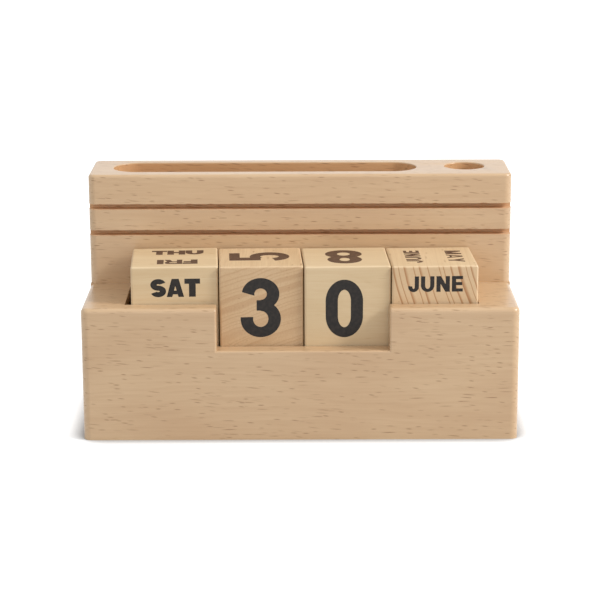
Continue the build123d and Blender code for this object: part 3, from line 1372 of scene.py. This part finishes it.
@dataclass
class BaseCase:
    """Boards of the low base. The figure runs on from the front board into both pocket ends.

    Attributes:
        boards: Direction of the fibres of each board, and its place in the plank in millimetres.
    """

    boards: dict[str, tuple[Grain, tuple[float, float, float]]] = field(default_factory=lambda: {
        "front_board": (Grain.LENGTHWISE, (0.0, 0.0, 0.0)),
        "left_pocket_end": (Grain.LENGTHWISE, (0.0, 0.0, 0.0)),
        "right_pocket_end": (Grain.LENGTHWISE, (0.0, 0.0, 0.0)),
        "back_board": (Grain.LENGTHWISE, (85.0, 40.0, 9.0)),
        "bottom_board": (Grain.LENGTHWISE, (-60.0, 22.0, 18.0)),
        "pocket_floor": (Grain.LENGTHWISE, (44.0, -31.0, 5.0)),
        "left_end_panel": (Grain.CROSSWISE, (12.0, 60.0, -20.0)),
    })

    def build(self) -> None:
        """Dresses the boards and the dowels between them."""
        for node, (grain, shift) in self.boards.items():
            dress(node, LACQUERED_BEECH.material(grain, shift))
        dress("rear_block_dowels", SANDED_BEECH.material(Grain.UPRIGHT))


@dataclass
class Drawer:
    """Plain box drawer with a finger notch and a thin bottom in grooves.

    Attributes:
        boards: Wood of each board, the direction of its fibres and its place in the plank.
    """

    boards: dict[str, tuple[Wood, Grain, tuple[float, float, float]]] = field(default_factory=lambda: {
        "drawer_front": (LACQUERED_BEECH, Grain.CROSSWISE, (5.0, 70.0, 33.0)),
        "drawer_near_side": (SANDED_BEECH, Grain.LENGTHWISE, (20.0, 8.0, -12.0)),
        "drawer_far_side": (SANDED_BEECH, Grain.LENGTHWISE, (-75.0, 30.0, 14.0)),
        "drawer_inner_end": (SANDED_BEECH, Grain.CROSSWISE, (9.0, -40.0, 25.0)),
        "drawer_bottom": (PEELED_BIRCH, Grain.LENGTHWISE, (0.0, 0.0, 50.0)),
    })

    def build(self) -> None:
        """Dresses the five pieces of the drawer."""
        for node, (wood, grain, shift) in self.boards.items():
            dress(node, wood.material(grain, shift))


@dataclass(frozen=True)
class SoftBox:
    """Square lamp that looks at the object.

    Attributes:
        name: Name of the lamp.
        azimuth: Degrees from +X, counter-clockwise seen from above.
        height: Degrees above the table.
        distance: Metres from the object.
        size: Edge in metres.
        power: Watts.
        aim: Height of the place that it looks at, about the middle of the object.
    """

    name: str
    azimuth: float
    height: float
    distance: float
    size: float
    power: float
    aim: float = 60 * MM

    def build(self) -> None:
        """Hangs the lamp and turns it to the object."""
        data = bpy.data.lights.new(self.name, "AREA")
        data.shape = "SQUARE"
        data.size = self.size
        data.energy = self.power
        lamp = put(self.name, data)
        azimuth = math.radians(self.azimuth)
        height = math.radians(self.height)
        level = math.cos(height)
        way = Vector((level * math.cos(azimuth), level * math.sin(azimuth), math.sin(height)))
        lamp.location = way * self.distance + Vector((0, 0, self.aim))
        lamp.rotation_euler = way.to_track_quat("Z", "Y").to_euler()


@dataclass
class Studio:
    """White floor, soft light from the upper right and the photograph's camera.

    Attributes:
        camera_x: How far the camera stands to the right of the middle.
        camera_height: Its height over the table.
        camera_standoff: From the front of the object to the camera.
        camera_yaw: Its turn to the left in degrees.
        camera_dip: How far it looks down.
        camera_roll: Its turn about its own axis.
        focal_pixels: Its focal length in pixels of the photograph.
        frame_pixels: Width of the photograph.
        sensor_mm: Width of the sensor that stands for it.
        lamps: The soft boxes.
        ambient: Strength of the sky as light.
        floor_albedo: Share of the light that the floor gives back.
        floor_glow: Strength of the floor's own white.
        contact_reach: How near to the object that white fades.
        contact_sky: Share of open sky at which it starts, and at which it is whole.
        floor_reach: Half width of the floor.
    """

    camera_x: float = 1.475 * MM
    camera_height: float = 301.17 * MM
    camera_standoff: float = 925.54 * MM
    camera_yaw: float = 0.096
    camera_dip: float = 14.147
    camera_roll: float = -0.216
    focal_pixels: float = 2058.55
    frame_pixels: float = 600.0
    sensor_mm: float = 36.0
    lamps: tuple[SoftBox, ...] = (
        SoftBox("key_soft_box", azimuth=-17.0, height=35.0, distance=2.0, size=0.45, power=30.0),
        SoftBox("front_fill", azimuth=-90.0, height=17.0, distance=2.0, size=1.2, power=3.3),
        SoftBox("left_fill", azimuth=-165.0, height=30.0, distance=2.0, size=1.2, power=3.0),
    )
    ambient: float = 0.725
    floor_albedo: float = 0.50
    floor_glow: float = 0.80
    contact_reach: float = 12 * MM
    contact_sky: tuple[float, float] = (0.55, 0.95)
    floor_reach: float = 6.0

    def build(self) -> None:
        """Sets the camera, the lamps, the sky and the floor."""
        self._camera()
        for lamp in self.lamps:
            lamp.build()
        self._sky()
        self._floor()
        bpy.context.scene.view_settings.view_transform = "Standard"

    def _camera(self) -> None:
        """Places the camera that matches the photograph's perspective, before the front face."""
        data = bpy.data.cameras.new("camera")
        data.sensor_width = self.sensor_mm
        data.lens = self.focal_pixels / self.frame_pixels * self.sensor_mm
        camera = put("camera", data)
        front = CAD_BOX[0][1]
        place = Matrix.Translation((self.camera_x, front - self.camera_standoff, self.camera_height))
        yaw = Matrix.Rotation(math.radians(self.camera_yaw), 4, "Z")
        dip = Matrix.Rotation(math.radians(90 - self.camera_dip), 4, "X")
        roll = Matrix.Rotation(math.radians(self.camera_roll), 4, "Z")
        camera.matrix_world = place @ yaw @ dip @ roll
        bpy.context.scene.camera = camera

    @staticmethod
    def _looked_at(tree: Tree) -> Socket:
        """Tells the rays that look at the white room from those that only carry its light.

        Args:
            tree: Node tree of the sky or the floor.

        Returns:
            One for camera, glossy and transmission rays, and zero for the rest.
        """
        path = add(tree, "ShaderNodeLightPath")
        seen = add(tree, "ShaderNodeMath", {
            0: path.outputs["Is Camera Ray"], 1: path.outputs["Is Glossy Ray"],
        }, operation="MAXIMUM")
        return add(tree, "ShaderNodeMath", {
            0: seen.outputs[0], 1: path.outputs["Is Transmission Ray"],
        }, operation="MAXIMUM").outputs[0]

    def _sky(self) -> None:
        """Makes the room: white to the eye and in reflections, and softer as light."""
        world = bpy.data.worlds.new("white_room")
        bpy.context.scene.world = world
        world.use_nodes = True
        tree = world.node_tree
        tree.nodes.clear()
        soft, white = (
            add(tree, "ShaderNodeBackground", {"Color": (1.0, 1.0, 1.0, 1.0), "Strength": strength})
            for strength in (self.ambient, 1.0)
        )
        both = add(tree, "ShaderNodeMixShader", {
            0: self._looked_at(tree), 1: soft.outputs[0], 2: white.outputs[0],
        })
        add(tree, "ShaderNodeOutputWorld", {"Surface": both.outputs[0]})

    def _floor(self) -> None:
        """Lays the white floor, which darkens close to the object and keeps its shadow."""
        mesh = bpy.data.meshes.new("floor")
        reach = self.floor_reach
        corners = [(-reach, -reach, 0), (reach, -reach, 0), (reach, reach, 0), (-reach, reach, 0)]
        mesh.from_pydata(corners, [], [(0, 1, 2, 3)])
        put("floor", mesh)
        material, tree = blank_material("white_table")
        # Half of the sky is hidden at the foot of a wall, so there the glow ends.
        open_sky = add(tree, "ShaderNodeAmbientOcclusion", {"Distance": self.contact_reach})
        glow = add(tree, "ShaderNodeMapRange", {
            "Value": open_sky.outputs["AO"], "To Max": self.floor_glow,
            "From Min": self.contact_sky[0], "From Max": self.contact_sky[1],
        })
        strength = add(tree, "ShaderNodeMath", {
            0: glow.outputs[0], 1: self._looked_at(tree),
        }, operation="MULTIPLY")
        paint = add(tree, "ShaderNodeBsdfDiffuse", {"Color": (*[self.floor_albedo] * 3, 1.0)})
        light = add(tree, "ShaderNodeEmission", {"Strength": strength.outputs[0]})
        both = add(tree, "ShaderNodeAddShader", {0: paint.outputs[0], 1: light.outputs[0]})
        add(tree, "ShaderNodeOutputMaterial", {"Surface": both.outputs[0]})
        mesh.materials.append(material)


def figures(
    faces: dict[Face, str], top_turn: float, middle_mm: tuple[float, float],
    top_middle_mm: tuple[float, float], height_mm: float,
) -> list[Legend]:
    """Lays one figure on each side.

    Args:
        faces: Figure on each side.
        top_turn: Turn of the figure on the top.
        middle_mm: Middle of the figure, from the side's lower left corner.
        top_middle_mm: The same on the top, where the stamp came down elsewhere.
        height_mm: Height of the figure.

    Returns:
        The legends.
    """
    legends = []
    for face, text in faces.items():
        on_top = face is Face.TOP
        middle = top_middle_mm if on_top else middle_mm
        legends.append(Legend(text, face, middle, height_mm, top_turn if on_top else 0.0))
    return legends


def name_pairs(
    faces: dict[Face, tuple[str, str]], first_turn: float, alphabet: Alphabet, height_mm: float,
    lead_mm: float, middle_mm: tuple[float, float],
) -> list[Legend]:
    """Lays two names on each side, with their feet to the middle.

    Args:
        faces: Both names on each side.
        first_turn: Turn of the first name.
        alphabet: Lettering.
        height_mm: Height of the letters.
        lead_mm: From the middle of the pair to the middle of a name.
        middle_mm: Middle of the pair, from the side's lower left corner.

    Returns:
        The legends.
    """
    legends = []
    for face, names in faces.items():
        for index, text in enumerate(names):
            turn = first_turn + 180 * index
            angle = math.radians(turn)
            middle = (
                middle_mm[0] - lead_mm * math.sin(angle), middle_mm[1] + lead_mm * math.cos(angle),
            )
            legends.append(Legend(text, face, middle, height_mm, turn, alphabet))
    return legends


def calendar_blocks() -> list[CalendarBlock]:
    """Describes the four cubes in their order from the left.

    Returns:
        The cubes.
    """
    weekday_style = {"alphabet": HEAVY_WORDS, "height_mm": 8.7, "lead_mm": 9.85}
    weekdays = name_pairs({
        Face.FRONT: ("SAT", "SUN"), Face.BACK: ("MON", "TUE"), Face.LEFT: ("WED", "THU"),
        Face.RIGHT: ("FRI", "SAT"), Face.UNDER: ("SUN", "MON"),
    }, first_turn=0.0, middle_mm=(20.8, 20.0), **weekday_style)
    weekdays += name_pairs(
        {Face.TOP: ("THU", "FRI")}, first_turn=0.0, middle_mm=(21.8, 20.0), **weekday_style,
    )
    months = name_pairs({
        Face.FRONT: ("JUNE", "JULY"), Face.BACK: ("AUG", "SEPT"), Face.LEFT: ("OCT", "NOV"),
        Face.RIGHT: ("DEC", "JAN"), Face.UNDER: ("FEB", "APR"),
    }, first_turn=0.0, alphabet=ROUND_WORDS, height_mm=7.5, lead_mm=11.35, middle_mm=(20.3, 20.0))
    months += name_pairs(
        {Face.TOP: ("JUNE", "MAY")}, first_turn=90.0, alphabet=ROUND_WORDS, height_mm=7.5,
        lead_mm=9.95, middle_mm=(21.35, 20.0),
    )
    tens = figures({
        Face.FRONT: "3", Face.TOP: "5", Face.BACK: "0", Face.LEFT: "2", Face.RIGHT: "4", Face.UNDER: "1",
    }, top_turn=90.0, middle_mm=(19.3, 20.2), top_middle_mm=(19.25, 20.65), height_mm=28.6)
    units = figures({
        Face.FRONT: "0", Face.TOP: "8", Face.BACK: "6", Face.LEFT: "1", Face.RIGHT: "7", Face.UNDER: "2",
    }, top_turn=180.0, middle_mm=(18.65, 19.7), top_middle_mm=(19.6, 20.025), height_mm=27.85)
    return [
        CalendarBlock(
            "weekday_block", "weekday", width=40.9 * MM, turn=2.7, finish=SANDED_LINDEN,
            grain=Grain.LENGTHWISE, legends=weekdays,
        ),
        CalendarBlock(
            "tens_block", "tens", width=39.4 * MM, turn=2.4, finish=SANDED_ALDER,
            grain=Grain.CROSSWISE, legends=tens, shift=(14.0, 0.0, 0.0),
        ),
        CalendarBlock(
            "units_block", "units", width=40.5 * MM, turn=2.1, finish=SMOOTH_LINDEN,
            grain=Grain.LENGTHWISE, legends=units, shift=(50.0, 11.0, 6.0),
        ),
        CalendarBlock(
            "month_block", "month", width=40.4 * MM, turn=2.2, finish=END_GRAIN_PINE,
            grain=Grain.CROSSWISE, legends=months, softness=0.9 * MM,
        ),
    ]


def main() -> None:
    """Builds the studio and the calendar, piece by piece."""
    logging.basicConfig(level=logging.INFO, format="%(name)s: %(message)s")
    Studio().build()
    log.info("studio is set")
    BaseCase().build()
    block = RearBlock().build()
    log.info("%s has %d faces", block.name, len(block.data.polygons))
    Drawer().build()
    # The second ink is the lighter brown of the tops, a painted sheen.
    fresh, sheened_top_ink = BLACK_INK.material(), TOP_SHEEN_INK.material()
    for cube in calendar_blocks():
        ink = cube.build(fresh, sheened_top_ink)
        log.info("%s is stamped with %d faces of ink", cube.node, len(ink.data.polygons))


if __name__ == "__main__":
    main()
